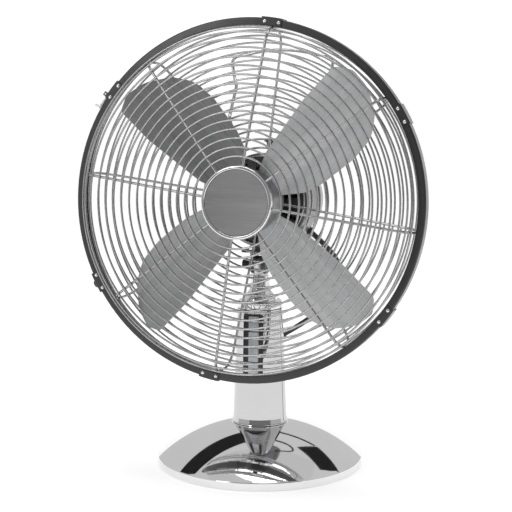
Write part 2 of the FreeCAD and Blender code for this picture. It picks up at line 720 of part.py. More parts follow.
def carry_handle():
    """Wire loop behind the rear guard, over the motor."""
    wire_r = 1.7
    plane_y = REAR_Y + SPOKE_WIRE_R + 2 * RING_WIRE_R - 0.3 + wire_r - 0.35
    left = [Vec(-31.5, guard_line(77, plane_y, -REAR_FALL), 69.5),
            Vec(-34.5, guard_line(88, plane_y, -REAR_FALL), 81),
            Vec(-45.5, 28.9, 114.5), Vec(-52.0, 38.4, 127.0), Vec(-54.5, 37.9, 144.0)]
    middle = [Vec(0, 36.4, 155.0)]
    right = [Vec(-p.x, p.y, p.z) for p in reversed(left)]
    points = left + middle + right
    radii = [9.0, 26.0, 24.0, 7.0, 150.0, 7.0, 24.0, 26.0, 9.0]
    loop, length = bent_rod(points, radii, wire_r)
    return place_head(loop)

# ---------------------------------------------------------------- rotor


def blade_outline():
    """Plan of one blade: x along its radius, z across it, straight edge on +z."""
    return [(27, -17, 0), (44, -30, 8), (62, -35.5, 30), (100, -39.5, 40), (126, -37, 30), (145, -24, 26),
            (158.5, -2, 26), (160.5, 18, 9), (151, 31.5, 7), (110, 30, 60), (47, 20.7, 20), (27, 13, 0)]


def fan_blade(index):
    """Creased and pitched sheet, trimmed to the blade's plan."""
    folds = [(-42, 14.3), (-14, 5.9), (16, -6.7), (36, -17.7)]
    top = [Vec(0, BLADE_Y + y, t) for t, y in folds]
    bottom = [Vec(0, BLADE_Y + y + BLADE_SHEET, t) for t, y in reversed(folds)]
    strip = Part.Face(Part.makePolygon(top + bottom + [top[0]])).extrude(Vec(170, 0, 0))
    plan = slab(blade_outline(), BLADE_Y - 40, BLADE_Y + 40)
    blade = strip.common(plan)
    return place_head(turned(blade, BLADE_TURN + 90.0 * index))


def fan_hub():
    """Pressed hub cup with a boss for the shaft, slotted for the blades."""
    front = BLADE_Y - 18
    back = BLADE_Y + 16
    cup = lathe_y([(SHAFT_R + RUNNING, front, 0), (HUB_R, front, 5), (HUB_R, back, 0), (HUB_R - 2, back, 0),
                   (HUB_R - 2, front + 2, 3), (9, front + 2, 0), (9, back - 2, 0),
                   (SHAFT_R + RUNNING, back - 2, 0)])
    blades = Part.makeCompound([fan_blade(i) for i in range(BLADE_COUNT)])
    return place_head(cup).cut(blades)


def spinner_nut():
    front = BLADE_Y - 27
    nut = lathe_y([(0, front, 0), (7.5, front, 2), (8.5, BLADE_Y - 18.1, 0),
                   (SHAFT_R + RUNNING, BLADE_Y - 18.1, 0),
                   (SHAFT_R + RUNNING, front + 3, 0), (0, front + 3, 0)])
    return place_head(nut)


def motor_shaft():
    """Shaft with the swing gear's worm cut on its rear end, drawn as close ridges."""
    corners = [(0, BLADE_Y - 23.5, 0), (SHAFT_R, BLADE_Y - 23.5, 0.5), (SHAFT_R, 42.5, 0), (5.2, 43.5, 0)]
    for ridge in range(6):
        y = 43.5 + 2.0 * ridge
        corners += [(6.4, y + 0.5, 0), (6.4, y + 1.0, 0), (5.2, y + 1.5, 0), (5.2, y + 2.0, 0)]
    corners += [(SHAFT_R, 56.5, 0), (SHAFT_R, 60, 0.5), (0, 60, 0)]
    return place_head(lathe_y(corners))


def rotor_core():
    core = lathe_y([(SHAFT_R + 0.02, 0, 0), (19.6, 0, 0.8), (19.6, 24, 0.8), (SHAFT_R + 0.02, 24, 0)])
    return place_head(core)


# ---------------------------------------------------------------- motor


def motor_front_housing():
    """Front half of the motor casing, with the guard's spigot and the swing socket."""
    inner = MOTOR_R - MOTOR_WALL
    face_back = MOTOR_FRONT_Y + 2.2
    spigot_r = PLATE_BORE_R - 0.1
    spigot = [(SHAFT_R + 1, REAR_Y - 6.3, 0), (9.0, REAR_Y - 6.3, 0.6), (9.0, REAR_Y - 0.9, 0),
              (spigot_r, REAR_Y - 0.9, 0), (spigot_r, REAR_Y + 0.7, 0), (18, REAR_Y + 0.7, 0)]
    outside = [(18, MOTOR_FRONT_Y, 0), (MOTOR_R, MOTOR_FRONT_Y, 4), (MOTOR_R, MOTOR_SPLIT_Y, 0)]
    inside = [(inner, MOTOR_SPLIT_Y, 0), (inner, face_back, 2), (13, face_back, 0)]
    bearing_seat = [(13, -5.6, 0), (BEARING_R, -5.6, 0), (BEARING_R, -10.9, 0), (SHAFT_R + 1, -10.9, 0)]
    shell = lathe_y(spigot + outside + inside + bearing_seat)
    socket_low = -AXIS_H + 17.0
    socket = rod(10.5, Vec(-AXIS_X, 0, socket_low), Vec(-AXIS_X, 0, -37.5))
    body = shell.fuse(socket)
    body = body.cut(rod(POST_R + RUNNING, Vec(-AXIS_X, 0, socket_low - 5), Vec(-AXIS_X, 0, -30)))
    slots = []
    for i in range(20):
        slot = block(22, MOTOR_FRONT_Y - 2, -1.7, 40, face_back + 1, 1.7)
        slots.append(turned(slot, 18.0 * i + 9))
    return place_head(body.cut(Part.makeCompound(slots)))


BEARING_R = 9.0


def motor_rear_housing():
    """Rear half of the casing, closed and rounded at the back."""
    split = MOTOR_SPLIT_Y + 0.4
    inner = MOTOR_R - MOTOR_WALL
    rear_inner = MOTOR_REAR_Y - MOTOR_WALL
    shell = lathe_y([(0, MOTOR_REAR_Y, 0), (MOTOR_REAR_R, MOTOR_REAR_Y, 14), (MOTOR_R, split, 0),
                     (inner, split, 0), (MOTOR_REAR_R - MOTOR_WALL, rear_inner, 12.4), (0, rear_inner, 0)])
    slots = []
    for i in range(18):
        slot = block(20, MOTOR_REAR_Y - 6, -1.4, 30, MOTOR_REAR_Y + 2, 1.4)
        slots.append(turned(slot, 20.0 * i))
    knob_hole = rod(KNOB_STEM_R + 0.6, Vec(GEAR_X, GEAR_Y, 20), Vec(GEAR_X, GEAR_Y, 60))
    crank_hole = rod(4.6, Vec(GEAR_X, GEAR_Y, -60), Vec(GEAR_X, GEAR_Y, -20))
    lead_hole = rod(LEAD_R + 1.25, *lead_grommet_line(-8, 8))
    return place_head(shell.cut(Part.makeCompound(slots)).cut(knob_hole).cut(crank_hole).cut(lead_hole))


def stator_core():
    inner_r = 20.3
    stack = lathe_y([(inner_r, 0, 0), (33.0, 0, 0.6), (33.0, 24, 0.6), (inner_r, 24, 0)])
    ears = []
    for i in range(4):
        ears.append(turned(block(30, 4, -4, 44.6, 20, 4), 45 + 90 * i))
    return place_head(fuse_all([stack] + ears))


def stator_windings():
    front = lathe_y([(21.5, -7.5, 2.5), (31, -7.5, 2.5), (31, -0.1, 0.5), (21.5, -0.1, 0.5)])
    rear = lathe_y([(21.5, 24.1, 0.5), (31, 24.1, 0.5), (31, 32, 2.5), (21.5, 32, 2.5)])
    return place_head(Part.makeCompound([front, rear]))


def shaft_bearings():
    front = lathe_y([(SHAFT_R + RUNNING, -10.8, 0), (BEARING_R - 0.05, -10.8, 0.4),
                     (BEARING_R - 0.05, -5.8, 0.4),
                     (SHAFT_R + RUNNING, -5.8, 0)])
    rear = lathe_y([(SHAFT_R + RUNNING, 35.2, 0), (BEARING_R - 0.05, 35.2, 0.4),
                    (BEARING_R - 0.05, 39.8, 0.4),
                    (SHAFT_R + RUNNING, 39.8, 0)])
    return place_head(Part.makeCompound([front, rear]))


def bearing_bracket():
    """Cross plate that carries the rear bearing and the gearbox."""
    plate = lathe_y([(BEARING_R, 35.0, 0), (13, 35.0, 0), (13, 37.4, 0), (40, 37.4, 0), (40, 40.0, 0),
                     (BEARING_R, 40.0, 0)])
    windows = []
    for i in range(4):
        windows.append(turned(block(17, 30, -9, 34, 45, 9), 45 + 90 * i))
    return place_head(plate.cut(Part.makeCompound(windows)))


def motor_bolts():
    """Four long bolts that hold casing halves, stator and bracket."""
    bolts = []
    for i in range(4):
        shank = rod(1.6, Vec(37.5, 20.1, 0), Vec(37.5, 37.3, 0))
        bolts.append(turned(shank, 45 + 90 * i))
    return place_head(Part.makeCompound(bolts))


def guard_nut():
    """Large ribbed nut that clamps the rear guard to the motor."""
    front = REAR_Y - 6.0
    back = REAR_Y - 0.95
    nut = lathe_y([(9.05, front, 0), (20, front, 1.5), (20, back, 0), (9.05, back, 0)])
    for i in range(12):
        angle = math.radians(30 * i)
        centre = Vec(21.3 * math.cos(angle), front - 1, 21.3 * math.sin(angle))
        nut = nut.cut(rod(2.4, centre, centre + Vec(0, 8, 0)))
    return place_head(nut)

# ---------------------------------------------------------------- swing gear

KNOB_STEM_R = 2.2


def gearbox_case():
    """Case round the worm wheel, open where the worm passes."""
    low = Vec(GEAR_X - 13, 40.1, -11)
    outer = block(low.x, low.y, low.z, GEAR_X + 22, 63, 12)
    cavity = block(low.x + 2, 42.2, -8.5, GEAR_X + 20, 61, 9.5)
    shaft_way = rod(SHAFT_R + 1.2, Vec(0, 30, 0), Vec(0, 61, 0))
    gear_way = rod(GEAR_SHAFT_R + RUNNING, Vec(GEAR_X, GEAR_Y, -30), Vec(GEAR_X, GEAR_Y, 20))
    knob_way = rod(KNOB_STEM_R + RUNNING, Vec(GEAR_X, GEAR_Y, 0), Vec(GEAR_X, GEAR_Y, 30))
    return place_head(outer.cut(cavity).cut(shaft_way).cut(gear_way).cut(knob_way))


GEAR_SHAFT_R = 2.5
WHEEL_TEETH = 20


def worm_wheel():
    """Toothed wheel and the upright shaft it is pressed on."""
    root_r = 4.6
    tip_r = 5.3
    corners = []
    for i in range(WHEEL_TEETH):
        for share, radius in ((0.0, root_r), (0.3, tip_r), (0.6, tip_r), (0.9, root_r)):
            angle = 2 * math.pi * (i + share) / WHEEL_TEETH
            corners.append(Vec(GEAR_X + radius * math.cos(angle), GEAR_Y + radius * math.sin(angle), -4))
    wheel = Part.Face(Part.makePolygon(corners + [corners[0]])).extrude(Vec(0, 0, 8))
    shaft = rod(GEAR_SHAFT_R, Vec(GEAR_X, GEAR_Y, CRANK_Z - AXIS_H + 1), Vec(GEAR_X, GEAR_Y, 6.0))
    return place_head(wheel.fuse(shaft).removeSplitter())


def crank_disc():
    """Disc under the casing with the crank pin."""
    low = CRANK_Z - AXIS_H
    disc = rod(CRANK_R + 2.6, Vec(GEAR_X, GEAR_Y, low), Vec(GEAR_X, GEAR_Y, low + 2))
    pin = rod(1.6, Vec(GEAR_X - CRANK_R, GEAR_Y, low - 1.6), Vec(GEAR_X - CRANK_R, GEAR_Y, low))
    body = disc.fuse(pin).removeSplitter()
    return place_head(body.cut(rod(GEAR_SHAFT_R, Vec(GEAR_X, GEAR_Y, low + 1),
                                   Vec(GEAR_X, GEAR_Y, low + 4))))


def swing_link():
    """Flat link from the tilt bracket's pin towards the crank."""
    low = 14.6
    start = Vec(LINK_PIN[0], LINK_PIN[1], low)
    end = Vec(AXIS_X + GEAR_X - CRANK_R, GEAR_Y, low)
    bar = link_plate(start, end, 3.2, 2.0)
    bar = bar.cut(rod(1.8 + RUNNING, start - Vec(0, 0, 5), start + Vec(0, 0, 5)))
    return place_tilt(bar.cut(rod(2.2, end - Vec(0, 0, 5), end + Vec(0, 0, 5))))


def swing_knob():
    """Push-pull knob on top of the motor that starts and stops the swing."""
    top = 62.0
    stem = rod(KNOB_STEM_R, Vec(GEAR_X, GEAR_Y, 7.0), Vec(GEAR_X, GEAR_Y, top - 3))
    cap = lathe_z([(0, top - 8, 0), (4.2, top - 8, 0.5), (4.8, top - 4, 1.5), (7.4, top - 3.6, 0.8),
                   (6.8, top, 1.4), (0, top, 0)])
    cap.translate(Vec(GEAR_X, GEAR_Y, 0))
    return place_head(stem.fuse(cap).removeSplitter())

# ---------------------------------------------------------------- lead between motor and column


def lead_gland_line(back, forth):
    """Two points on the axis of the lead's entry in the column's back."""
    end = LEAD_ROUTE[-1]
    outward = (LEAD_ROUTE[-2] - LEAD_ROUTE[-1]).normalize()
    return end + outward * back, end + outward * forth


def lead_grommet_line(back, forth):
    """The same for the lead's exit from the motor casing, in the head frame."""
    end = LEAD_EXIT
    outward = LEAD_EXIT_WAY
    return end + outward * back, end + outward * forth


LEAD_EXIT = Vec(29.0, 44.0, -30.0)
LEAD_EXIT_WAY = Vec(0.76, 0.12, -0.64)


def world_of_head(point):
    """World place of a point given in the head frame."""
    spot = Part.Vertex(point)
    return place_head(spot).Point


LEAD_START = world_of_head(LEAD_EXIT + LEAD_EXIT_WAY * 4.0)
LEAD_SECOND = world_of_head(LEAD_EXIT + LEAD_EXIT_WAY * 24.0)
LEAD_JOINT = Vec(69.5, 51.0, 203.0)
LEAD_ROUTE = [LEAD_START, LEAD_SECOND, LEAD_JOINT, Vec(70.0, 49.5, 181.0), Vec(58.0, 46.0, 159.0),
              Vec(38.0, 38.0, 140.5),
              Vec(13.5, 23.0, 126.5)]


def arc_radius(before, corner, after):
    """0.45 of the shorter run, divided by the tangent of half the turn."""
    into = corner - before
    out = after - corner
    turn = into.getAngle(out)
    return 0.45 * min(into.Length, out.Length) / math.tan(turn / 2)


def lead_tubes():
    """Lead in two lengths that meet face to face beside the tilt bracket."""
    radii = []
    for i in range(1, len(LEAD_ROUTE) - 1):
        radii.append(arc_radius(LEAD_ROUTE[i - 1], LEAD_ROUTE[i], LEAD_ROUTE[i + 1]))
    print("lead radii in diameters", [round(r / (2 * LEAD_R), 1) for r in radii])
    whole, length = bent_rod(LEAD_ROUTE, radii, LEAD_R)
    print("lead length", round(length), "volume over section times length",
          whole.Volume / (math.pi * LEAD_R ** 2 * length))
    into = (LEAD_JOINT - LEAD_SECOND).normalize()
    out = (LEAD_ROUTE[3] - LEAD_JOINT).normalize()
    normal = (into + out).normalize()
    bend = (out - into).normalize()
    half_turn = into.getAngle(out) / 2
    middle = LEAD_JOINT + bend * (radii[1] / math.cos(half_turn) - radii[1])
    keep = Part.makeBox(200, 200, 200, Vec(-100, -100, 0))
    keep.Placement = FreeCAD.Placement(middle, FreeCAD.Rotation(Vec(0, 0, 1), normal))
    return whole.cut(keep), whole.common(keep)


def lead_grommet():
    body = rod(LEAD_R + 1.2, *lead_grommet_line(-1.5, 5.5))
    head = rod(LEAD_R + 2.4, *lead_grommet_line(3.2, 5.5))
    bore = rod(LEAD_R, *lead_grommet_line(-6, 12))
    return place_head(body.fuse(head).cut(bore))


def lead_gland():
    body = rod(LEAD_R + 1.2, *lead_gland_line(-1.5, 6.5))
    head = rod(LEAD_R + 2.2, *lead_gland_line(3.4, 6.5))
    bore = rod(LEAD_R, *lead_gland_line(-6, 12))
    return body.fuse(head).cut(bore)

# ---------------------------------------------------------------- export


def main():
    os.makedirs("parts", exist_ok=True)
    export("foot_dome", foot_dome())
    export("base_plate", base_plate())
    export("base_screws", base_screws())
    export("rubber_foot", rubber_foot())
    export("ballast", ballast())
    export("cord_gland", cord_gland())
    export("column_foot", column_foot())
    export("column_front_shell", column_front_shell())
    export("column_rear_shell", column_rear_shell())
    export("column_cap", column_cap())
    export("stand_tube", stand_tube())
    export("tube_nut", tube_nut())
    export("neck", neck())
    export("switch_bezel", switch_bezel())
    export("switch_block", switch_block())
    for index in range(KEY_COUNT):
        export("key_" + str(index), key_cap(KEY_COUNT - 1 - index))
    export("tilt_bracket", tilt_bracket())
    export("pivot_clip", pivot_clip())
    export("tilt_bolt", tilt_bolt())
    export("tilt_knob", tilt_knob())
    export("swing_link", swing_link())
    export("front_guard", front_guard())
    export("rear_guard", rear_guard())
    export("trim_ring", trim_ring())
    export("ring_clips", ring_clips())
    export("clip_rivets", clip_rivets())
    export("latch_lever", latch_lever())
    export("ring_screw", ring_screw())
    export("badge_rim", badge_rim())
    export("badge_disc", badge_disc())
    export("badge_plate", badge_plate())
    export("badge_screws", badge_screws())
    export("carry_handle", carry_handle())
    for index in range(BLADE_COUNT):
        export("fan_blade_" + str(index + 1), fan_blade(index))
    export("fan_hub", fan_hub())
    export("spinner_nut", spinner_nut())
    export("motor_shaft", motor_shaft())
    export("rotor_core", rotor_core())
    export("motor_front_housing", motor_front_housing())
    export("motor_rear_housing", motor_rear_housing())
    export("stator_core", stator_core())
    export("stator_windings", stator_windings())
    export("shaft_bearings", shaft_bearings())
    export("bearing_bracket", bearing_bracket())
    export("motor_bolts", motor_bolts())
    export("guard_nut", guard_nut())
    export("gearbox_case", gearbox_case())
    export("worm_wheel", worm_wheel())
    export("crank_disc", crank_disc())
    export("swing_knob", swing_knob())
    lead_upper, lead_lower = lead_tubes()
    export("lead_upper", lead_upper)
    export("lead_lower", lead_lower)
    export("lead_grommet", lead_grommet())
    export("lead_gland", lead_gland())


main()
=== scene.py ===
import json
import math

import bmesh
import bpy
from mathutils import Matrix, Vector


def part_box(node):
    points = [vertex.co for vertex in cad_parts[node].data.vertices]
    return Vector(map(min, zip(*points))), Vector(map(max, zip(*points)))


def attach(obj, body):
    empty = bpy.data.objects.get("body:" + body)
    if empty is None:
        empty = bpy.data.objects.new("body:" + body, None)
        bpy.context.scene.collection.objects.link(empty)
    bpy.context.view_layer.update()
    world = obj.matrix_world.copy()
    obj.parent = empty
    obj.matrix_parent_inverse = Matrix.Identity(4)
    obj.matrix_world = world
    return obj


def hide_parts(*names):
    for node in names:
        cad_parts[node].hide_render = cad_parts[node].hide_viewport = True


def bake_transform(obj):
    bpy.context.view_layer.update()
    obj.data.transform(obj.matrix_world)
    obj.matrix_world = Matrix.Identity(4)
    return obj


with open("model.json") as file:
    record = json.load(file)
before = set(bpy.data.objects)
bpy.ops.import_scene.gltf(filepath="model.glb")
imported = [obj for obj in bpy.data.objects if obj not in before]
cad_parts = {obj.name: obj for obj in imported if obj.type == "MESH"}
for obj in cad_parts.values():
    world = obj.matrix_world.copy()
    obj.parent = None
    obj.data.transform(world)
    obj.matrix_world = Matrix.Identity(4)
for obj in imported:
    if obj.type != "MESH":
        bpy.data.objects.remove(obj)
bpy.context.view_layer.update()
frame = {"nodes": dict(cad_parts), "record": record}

scene = bpy.context.scene
scene.view_settings.view_transform = "Standard"

TILT = math.radians(4.0)
HINGE = Vector((0.0, 0.0, 0.2045))
AXIS_H = 0.0655
AXIS_X = 0.0070


def head_point(x, y, z):
    """Row-frame place of a point in the head's own frame, in metres."""
    z += AXIS_H
    c, s = math.cos(TILT), math.sin(TILT)
    return HINGE + Vector((x + AXIS_X, y * c + z * s, -y * s + z * c))


# ------------------------------------------------------------------ materials


class Paint:
    """A material with its principled shader and a short way to add nodes."""

    def __init__(self, name, colour, metallic, roughness):
        self.mat = bpy.data.materials.new(name)
        self.mat.use_nodes = True
        self.tree = self.mat.node_tree
        self.tree.nodes.clear()
        self.out = self.add("ShaderNodeOutputMaterial")
        self.bsdf = self.add("ShaderNodeBsdfPrincipled")
        self.link(self.bsdf, "BSDF", self.out, "Surface")
        self.bsdf.inputs["Base Color"].default_value = (*colour, 1)
        self.bsdf.inputs["Metallic"].default_value = metallic
        self.bsdf.inputs["Roughness"].default_value = roughness
        self.coord = self.add("ShaderNodeTexCoord")
        self.last_bump = None

    def add(self, kind, **values):
        node = self.tree.nodes.new(kind)
        for key, value in values.items():
            setattr(node, key, value)
        return node

    def link(self, a, a_out, b, b_in):
        self.tree.links.new(a.outputs[a_out], b.inputs[b_in])

    def space(self, scale=(1, 1, 1), turn=(0, 0, 0)):
        """Object coordinates, turned and then stretched."""
        spin = self.add("ShaderNodeMapping", vector_type="POINT")
        spin.inputs["Rotation"].default_value = turn
        self.link(self.coord, "Object", spin, "Vector")
        stretch = self.add("ShaderNodeMapping", vector_type="POINT")
        stretch.inputs["Scale"].default_value = scale
        self.link(spin, "Vector", stretch, "Vector")
        return stretch

    def noise(self, space, scale, detail=3.0, rough=0.55):
        node = self.add("ShaderNodeTexNoise")
        node.inputs["Scale"].default_value = scale
        node.inputs["Detail"].default_value = detail
        node.inputs["Roughness"].default_value = rough
        self.link(space, "Vector", node, "Vector")
        return node

    def spread(self, source, low, high, a=0.3, b=0.7):
        """Maps a texture's middle range onto low..high."""
        node = self.add("ShaderNodeMapRange")
        node.inputs["From Min"].default_value = a
        node.inputs["From Max"].default_value = b
        node.inputs["To Min"].default_value = low
        node.inputs["To Max"].default_value = high
        self.link(source, 0, node, "Value")
        return node

    def rough(self, source, low, high, a=0.3, b=0.7):
        self.link(self.spread(source, low, high, a, b), "Result", self.bsdf, "Roughness")

    def tint(self, source, dark, light, a=0.3, b=0.7):
        ramp = self.add("ShaderNodeValToRGB")
        ramp.color_ramp.elements[0].position = a
        ramp.color_ramp.elements[0].color = (*dark, 1)
        ramp.color_ramp.elements[1].position = b
        ramp.color_ramp.elements[1].color = (*light, 1)
        self.link(source, 0, ramp, "Fac")
        self.link(ramp, "Color", self.bsdf, "Base Color")

    def bump(self, source, strength, distance):
        node = self.add("ShaderNodeBump")
        node.inputs["Strength"].default_value = strength
        node.inputs["Distance"].default_value = distance
        self.link(source, 0, node, "Height")
        if self.last_bump:
            self.link(self.last_bump, "Normal", node, "Normal")
        self.last_bump = node
        self.link(node, "Normal", self.bsdf, "Normal")


def chrome(name, dark, pale):
    p = Paint(name, pale, 1.0, 0.04)
    plain = p.space()
    smear = p.noise(plain, 22.0, 4.0)
    p.rough(smear, 0.025, 0.075, 0.35, 0.75)
    tone = p.noise(plain, 9.0, 2.0)
    p.tint(tone, dark, pale)
    p.bump(p.noise(plain, 7.0, 0.0), 0.02, 0.0008)
    return p.mat


def wire(name, colour, low, high):
    p = Paint(name, colour, 1.0, low)
    plain = p.space()
    p.rough(p.noise(plain, 160.0, 3.0), low, high)
    dark = tuple(c * 0.86 for c in colour)
    light = tuple(min(1.0, c * 1.10) for c in colour)
    p.tint(p.noise(plain, 60.0, 4.0), dark, light)
    p.bump(p.noise(plain, 1400.0, 2.0), 0.12, 0.0001)
    return p.mat


def brushed(name, colour, turn, low=0.24, high=0.40, grain=1.0):
    """Sheet with fine streaks along its own X axis."""
    p = Paint(name, colour, 1.0, low)
    streak = p.space((10.0, 900.0 * grain, 900.0 * grain), turn)
    fine = p.noise(streak, 1.0, 3.0, 0.6)
    p.rough(fine, low, high)
    broad = p.noise(p.space((6.0, 70.0, 70.0), turn), 1.0, 3.0)
    dark = tuple(c * 0.80 for c in colour)
    light = tuple(min(1.0, c * 1.14) for c in colour)
    mix = p.add("ShaderNodeMath", operation="ADD")
    half_a = p.spread(fine, 0.0, 0.5, 0.25, 0.75)
    half_b = p.spread(broad, 0.0, 0.5, 0.25, 0.75)
    p.link(half_a, "Result", mix, 0)
    p.link(half_b, "Result", mix, 1)
    p.tint(mix, dark, light, 0.15, 0.85)
    p.bump(fine, 0.10, 0.00012)
    return p.mat


def lacquer(name, colour, metallic, low, high, flake):
    """Sprayed lacquer with a fine metallic sparkle and slight orange peel."""
    p = Paint(name, colour, metallic, low)
    plain = p.space()
    p.rough(p.noise(plain, 45.0, 4.0), low, high)
    sparkle = p.noise(plain, 2600.0, 1.0)
    dark = tuple(c * (1 - flake) for c in colour)
    light = tuple(min(1.0, c * (1 + flake)) for c in colour)
    p.tint(sparkle, dark, light, 0.35, 0.65)
    p.bump(p.noise(plain, 420.0, 2.0), 0.10, 0.0002)
    p.bsdf.inputs["Coat Weight"].default_value = 0.35
    p.bsdf.inputs["Coat Roughness"].default_value = 0.12
    return p.mat


def moulded(name, colour, low, high, grain=1300.0, depth=0.25):
    """Moulded plastic or rubber with an eroded grain."""
    p = Paint(name, colour, 0.0, low)
    plain = p.space()
    p.rough(p.noise(plain, 70.0, 4.0), low, high)
    dark = tuple(c * 0.85 for c in colour)
    light = tuple(min(1.0, c * 1.18) for c in colour)
    p.tint(p.noise(plain, 110.0, 3.0), dark, light)
    p.bump(p.noise(plain, grain, 3.0), depth, 0.00015)
    return p.mat


def laminated(name, colour):
    """Stacked sheet steel: fine bands along the fan axis."""
    p = Paint(name, colour, 0.9, 0.45)
    bands = p.add("ShaderNodeTexWave", wave_type="BANDS", bands_direction="Y")
    bands.inputs["Scale"].default_value = 320.0
    bands.inputs["Distortion"].default_value = 0.4
    p.link(p.space(turn=(TILT, 0, 0)), "Vector", bands, "Vector")
    p.tint(bands, tuple(c * 0.5 for c in colour), tuple(c * 1.3 for c in colour), 0.2, 0.8)
    p.bump(bands, 0.5, 0.0002)
    return p.mat


def wound(name, colour):
    """Varnished copper turns."""
    p = Paint(name, colour, 0.9, 0.3)
    turns = p.add("ShaderNodeTexWave", wave_type="RINGS", rings_direction="Y")
    turns.inputs["Scale"].default_value = 280.0
    turns.inputs["Distortion"].default_value = 1.5
    p.link(p.space(turn=(TILT, 0, 0)), "Vector", turns, "Vector")
    p.tint(turns, tuple(c * 0.45 for c in colour), tuple(min(1, c * 1.3) for c in colour), 0.2, 0.8)
    p.bump(turns, 0.6, 0.0003)
    return p.mat


LOOKS = {
    "chrome": chrome("chrome", (0.80, 0.80, 0.81), (0.85, 0.85, 0.855)),
    # darker copy of the dome's chrome for the column shells: painted shade, the column is the same chrome
    # as the dome
    "column_chrome_painted_shade": chrome("column_chrome_painted_shade", (0.56, 0.56, 0.565), (0.62, 0.62, 0.625)),
    "guard_wire": wire("guard_wire", (0.42, 0.42, 0.425), 0.20, 0.34),
    # lighter copy of the guard wire for the rear guard and handle: painted light, the same steel wire as
    # the front guard
    "rear_wire_painted_light": wire("rear_wire_painted_light", (0.52, 0.52, 0.525), 0.18, 0.30),
    "bright_metal": wire("bright_metal", (0.78, 0.78, 0.79), 0.15, 0.28),
    "steel": brushed("steel", (0.52, 0.52, 0.53), (0, 0, 0)),
    "hub_metal": brushed("hub_metal", (0.42, 0.42, 0.43), (0, 0, 0), 0.28, 0.42),
    "badge_metal": brushed("badge_metal", (0.26, 0.26, 0.265), (TILT, 0, 0), 0.30, 0.46, 1.6),
    "ring_dark": lacquer("ring_dark", (0.05, 0.05, 0.052), 0.75, 0.30, 0.42, 0.12),
    "motor_dark": lacquer("motor_dark", (0.13, 0.13, 0.135), 0.7, 0.28, 0.40, 0.25),
    "plastic_dark": moulded("plastic_dark", (0.045, 0.045, 0.048), 0.38, 0.55),
    "key_light": moulded("key_light", (0.60, 0.61, 0.62), 0.25, 0.38, 900.0, 0.10),
    "rubber": moulded("rubber", (0.03, 0.03, 0.03), 0.65, 0.85, 700.0, 0.35),
    "lead_jacket": moulded("lead_jacket", (0.035, 0.035, 0.037), 0.45, 0.6, 500.0, 0.2),
    "lamination": laminated("lamination", (0.20, 0.20, 0.21)),
    # copper turns darkened far below bare copper: painted shade of the motor's slots over the real
    # varnished copper hue
    "copper": wound("copper", (0.16, 0.07, 0.03)),
}
for index, angle in enumerate((45.0, 135.0, 225.0, 315.0)):
    along = math.radians(angle)
    LOOKS["blade_" + str(index + 1)] = brushed(
        "blade_metal_" + str(index + 1), (0.46, 0.465, 0.47), (TILT, along, 0), 0.26, 0.40
    )

OWN_LOOK = {
    # column shells: painted-shade copy of the chrome
    "column_front_shell": "column_chrome_painted_shade",
    "column_rear_shell": "column_chrome_painted_shade",
    # rear guard and carry handle: painted-light copy of the guard wire
    "rear_guard": "rear_wire_painted_light",
    "carry_handle": "rear_wire_painted_light",
    "fan_hub": "hub_metal",
    "fan_blade_1": "blade_1",
    "fan_blade_2": "blade_2",
    "fan_blade_3": "blade_3",
    "fan_blade_4": "blade_4",
}
slots = {s["node"]: s["material_slot"] for s in frame["record"]["subparts"]}
for node, obj in frame["nodes"].items():
    look = LOOKS[OWN_LOOK.get(node, slots[node])]
    if not obj.material_slots:
        obj.data.materials.append(look)
    for slot in obj.material_slots:
        slot.material = look


# ------------------------------------------------------------------ chromed foot dome of the stand


def rounded(corners, steps=7):
    """Open profile through (radius, height, rounding) corners."""
    points = []
    for i, (r, z, rounding) in enumerate(corners):
        here = Vector((r, z))
        if rounding == 0 or i in (0, len(corners) - 1):
            points.append(here)
            continue
        before = (Vector(corners[i - 1][:2]) - here).normalized()
        after = (Vector(corners[i + 1][:2]) - here).normalized()
        half = before.angle(after) / 2
        start = here + before * (rounding / math.tan(half))
        centre = here + (before + after).normalized() * (rounding / math.sin(half))
        end = here + after * (rounding / math.tan(half))
        a, b = start - centre, end - centre
        for k in range(steps + 1):
            spot = a.lerp(b, k / steps).normalized() * rounding
            points.append(centre + spot)
    return points


def lathe(name, profile, body, look, *nodes, segments=240):
    """Turned skin about the Z axis; the profile runs from the inside round to the inside."""
    bm = bmesh.new()
    rows = []
    for point in profile:
        row = []
        for k in range(segments):
            a = 2 * math.pi * k / segments
            row.append(bm.verts.new((point.x * math.cos(a), point.x * math.sin(a), point.y)))
        rows.append(row)
    for low, high in zip(rows, rows[1:] + rows[:1]):
        for k in range(segments):
            bm.faces.new((low[k], low[(k + 1) % segments], high[(k + 1) % segments], high[k]))
    bmesh.ops.recalc_face_normals(bm, faces=bm.faces[:])
    for face in bm.faces:
        face.smooth = True
    for edge in bm.edges:
        if edge.calc_face_angle(0.0) > 0.5:
            edge.smooth = False
    data = bpy.data.meshes.new(name)
    bm.to_mesh(data)
    bm.free()
    obj = bpy.data.objects.new(name, data)
    scene.collection.objects.link(obj)
    data.materials.append(LOOKS[look])
    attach(obj, body)
    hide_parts(*nodes)
    return obj


dome_low, dome_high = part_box("foot_dome")
BASE_R = dome_high.x
LIP_LOW = dome_low.z
LIP_TOP = 0.0085
HOLE_R = 0.013
FOOT_R, FOOT_Z = 0.029, 0.043
SHEET = 0.0015
centre_z = (BASE_R**2 + LIP_TOP**2 - FOOT_R**2 - FOOT_Z**2) / (2 * (LIP_TOP - FOOT_Z))
sphere_r = math.hypot(BASE_R, LIP_TOP - centre_z)


def dome_arc(radius, inset=0.0):
    return Vector((radius, centre_z + math.sqrt((sphere_r - inset) ** 2 - radius**2)))


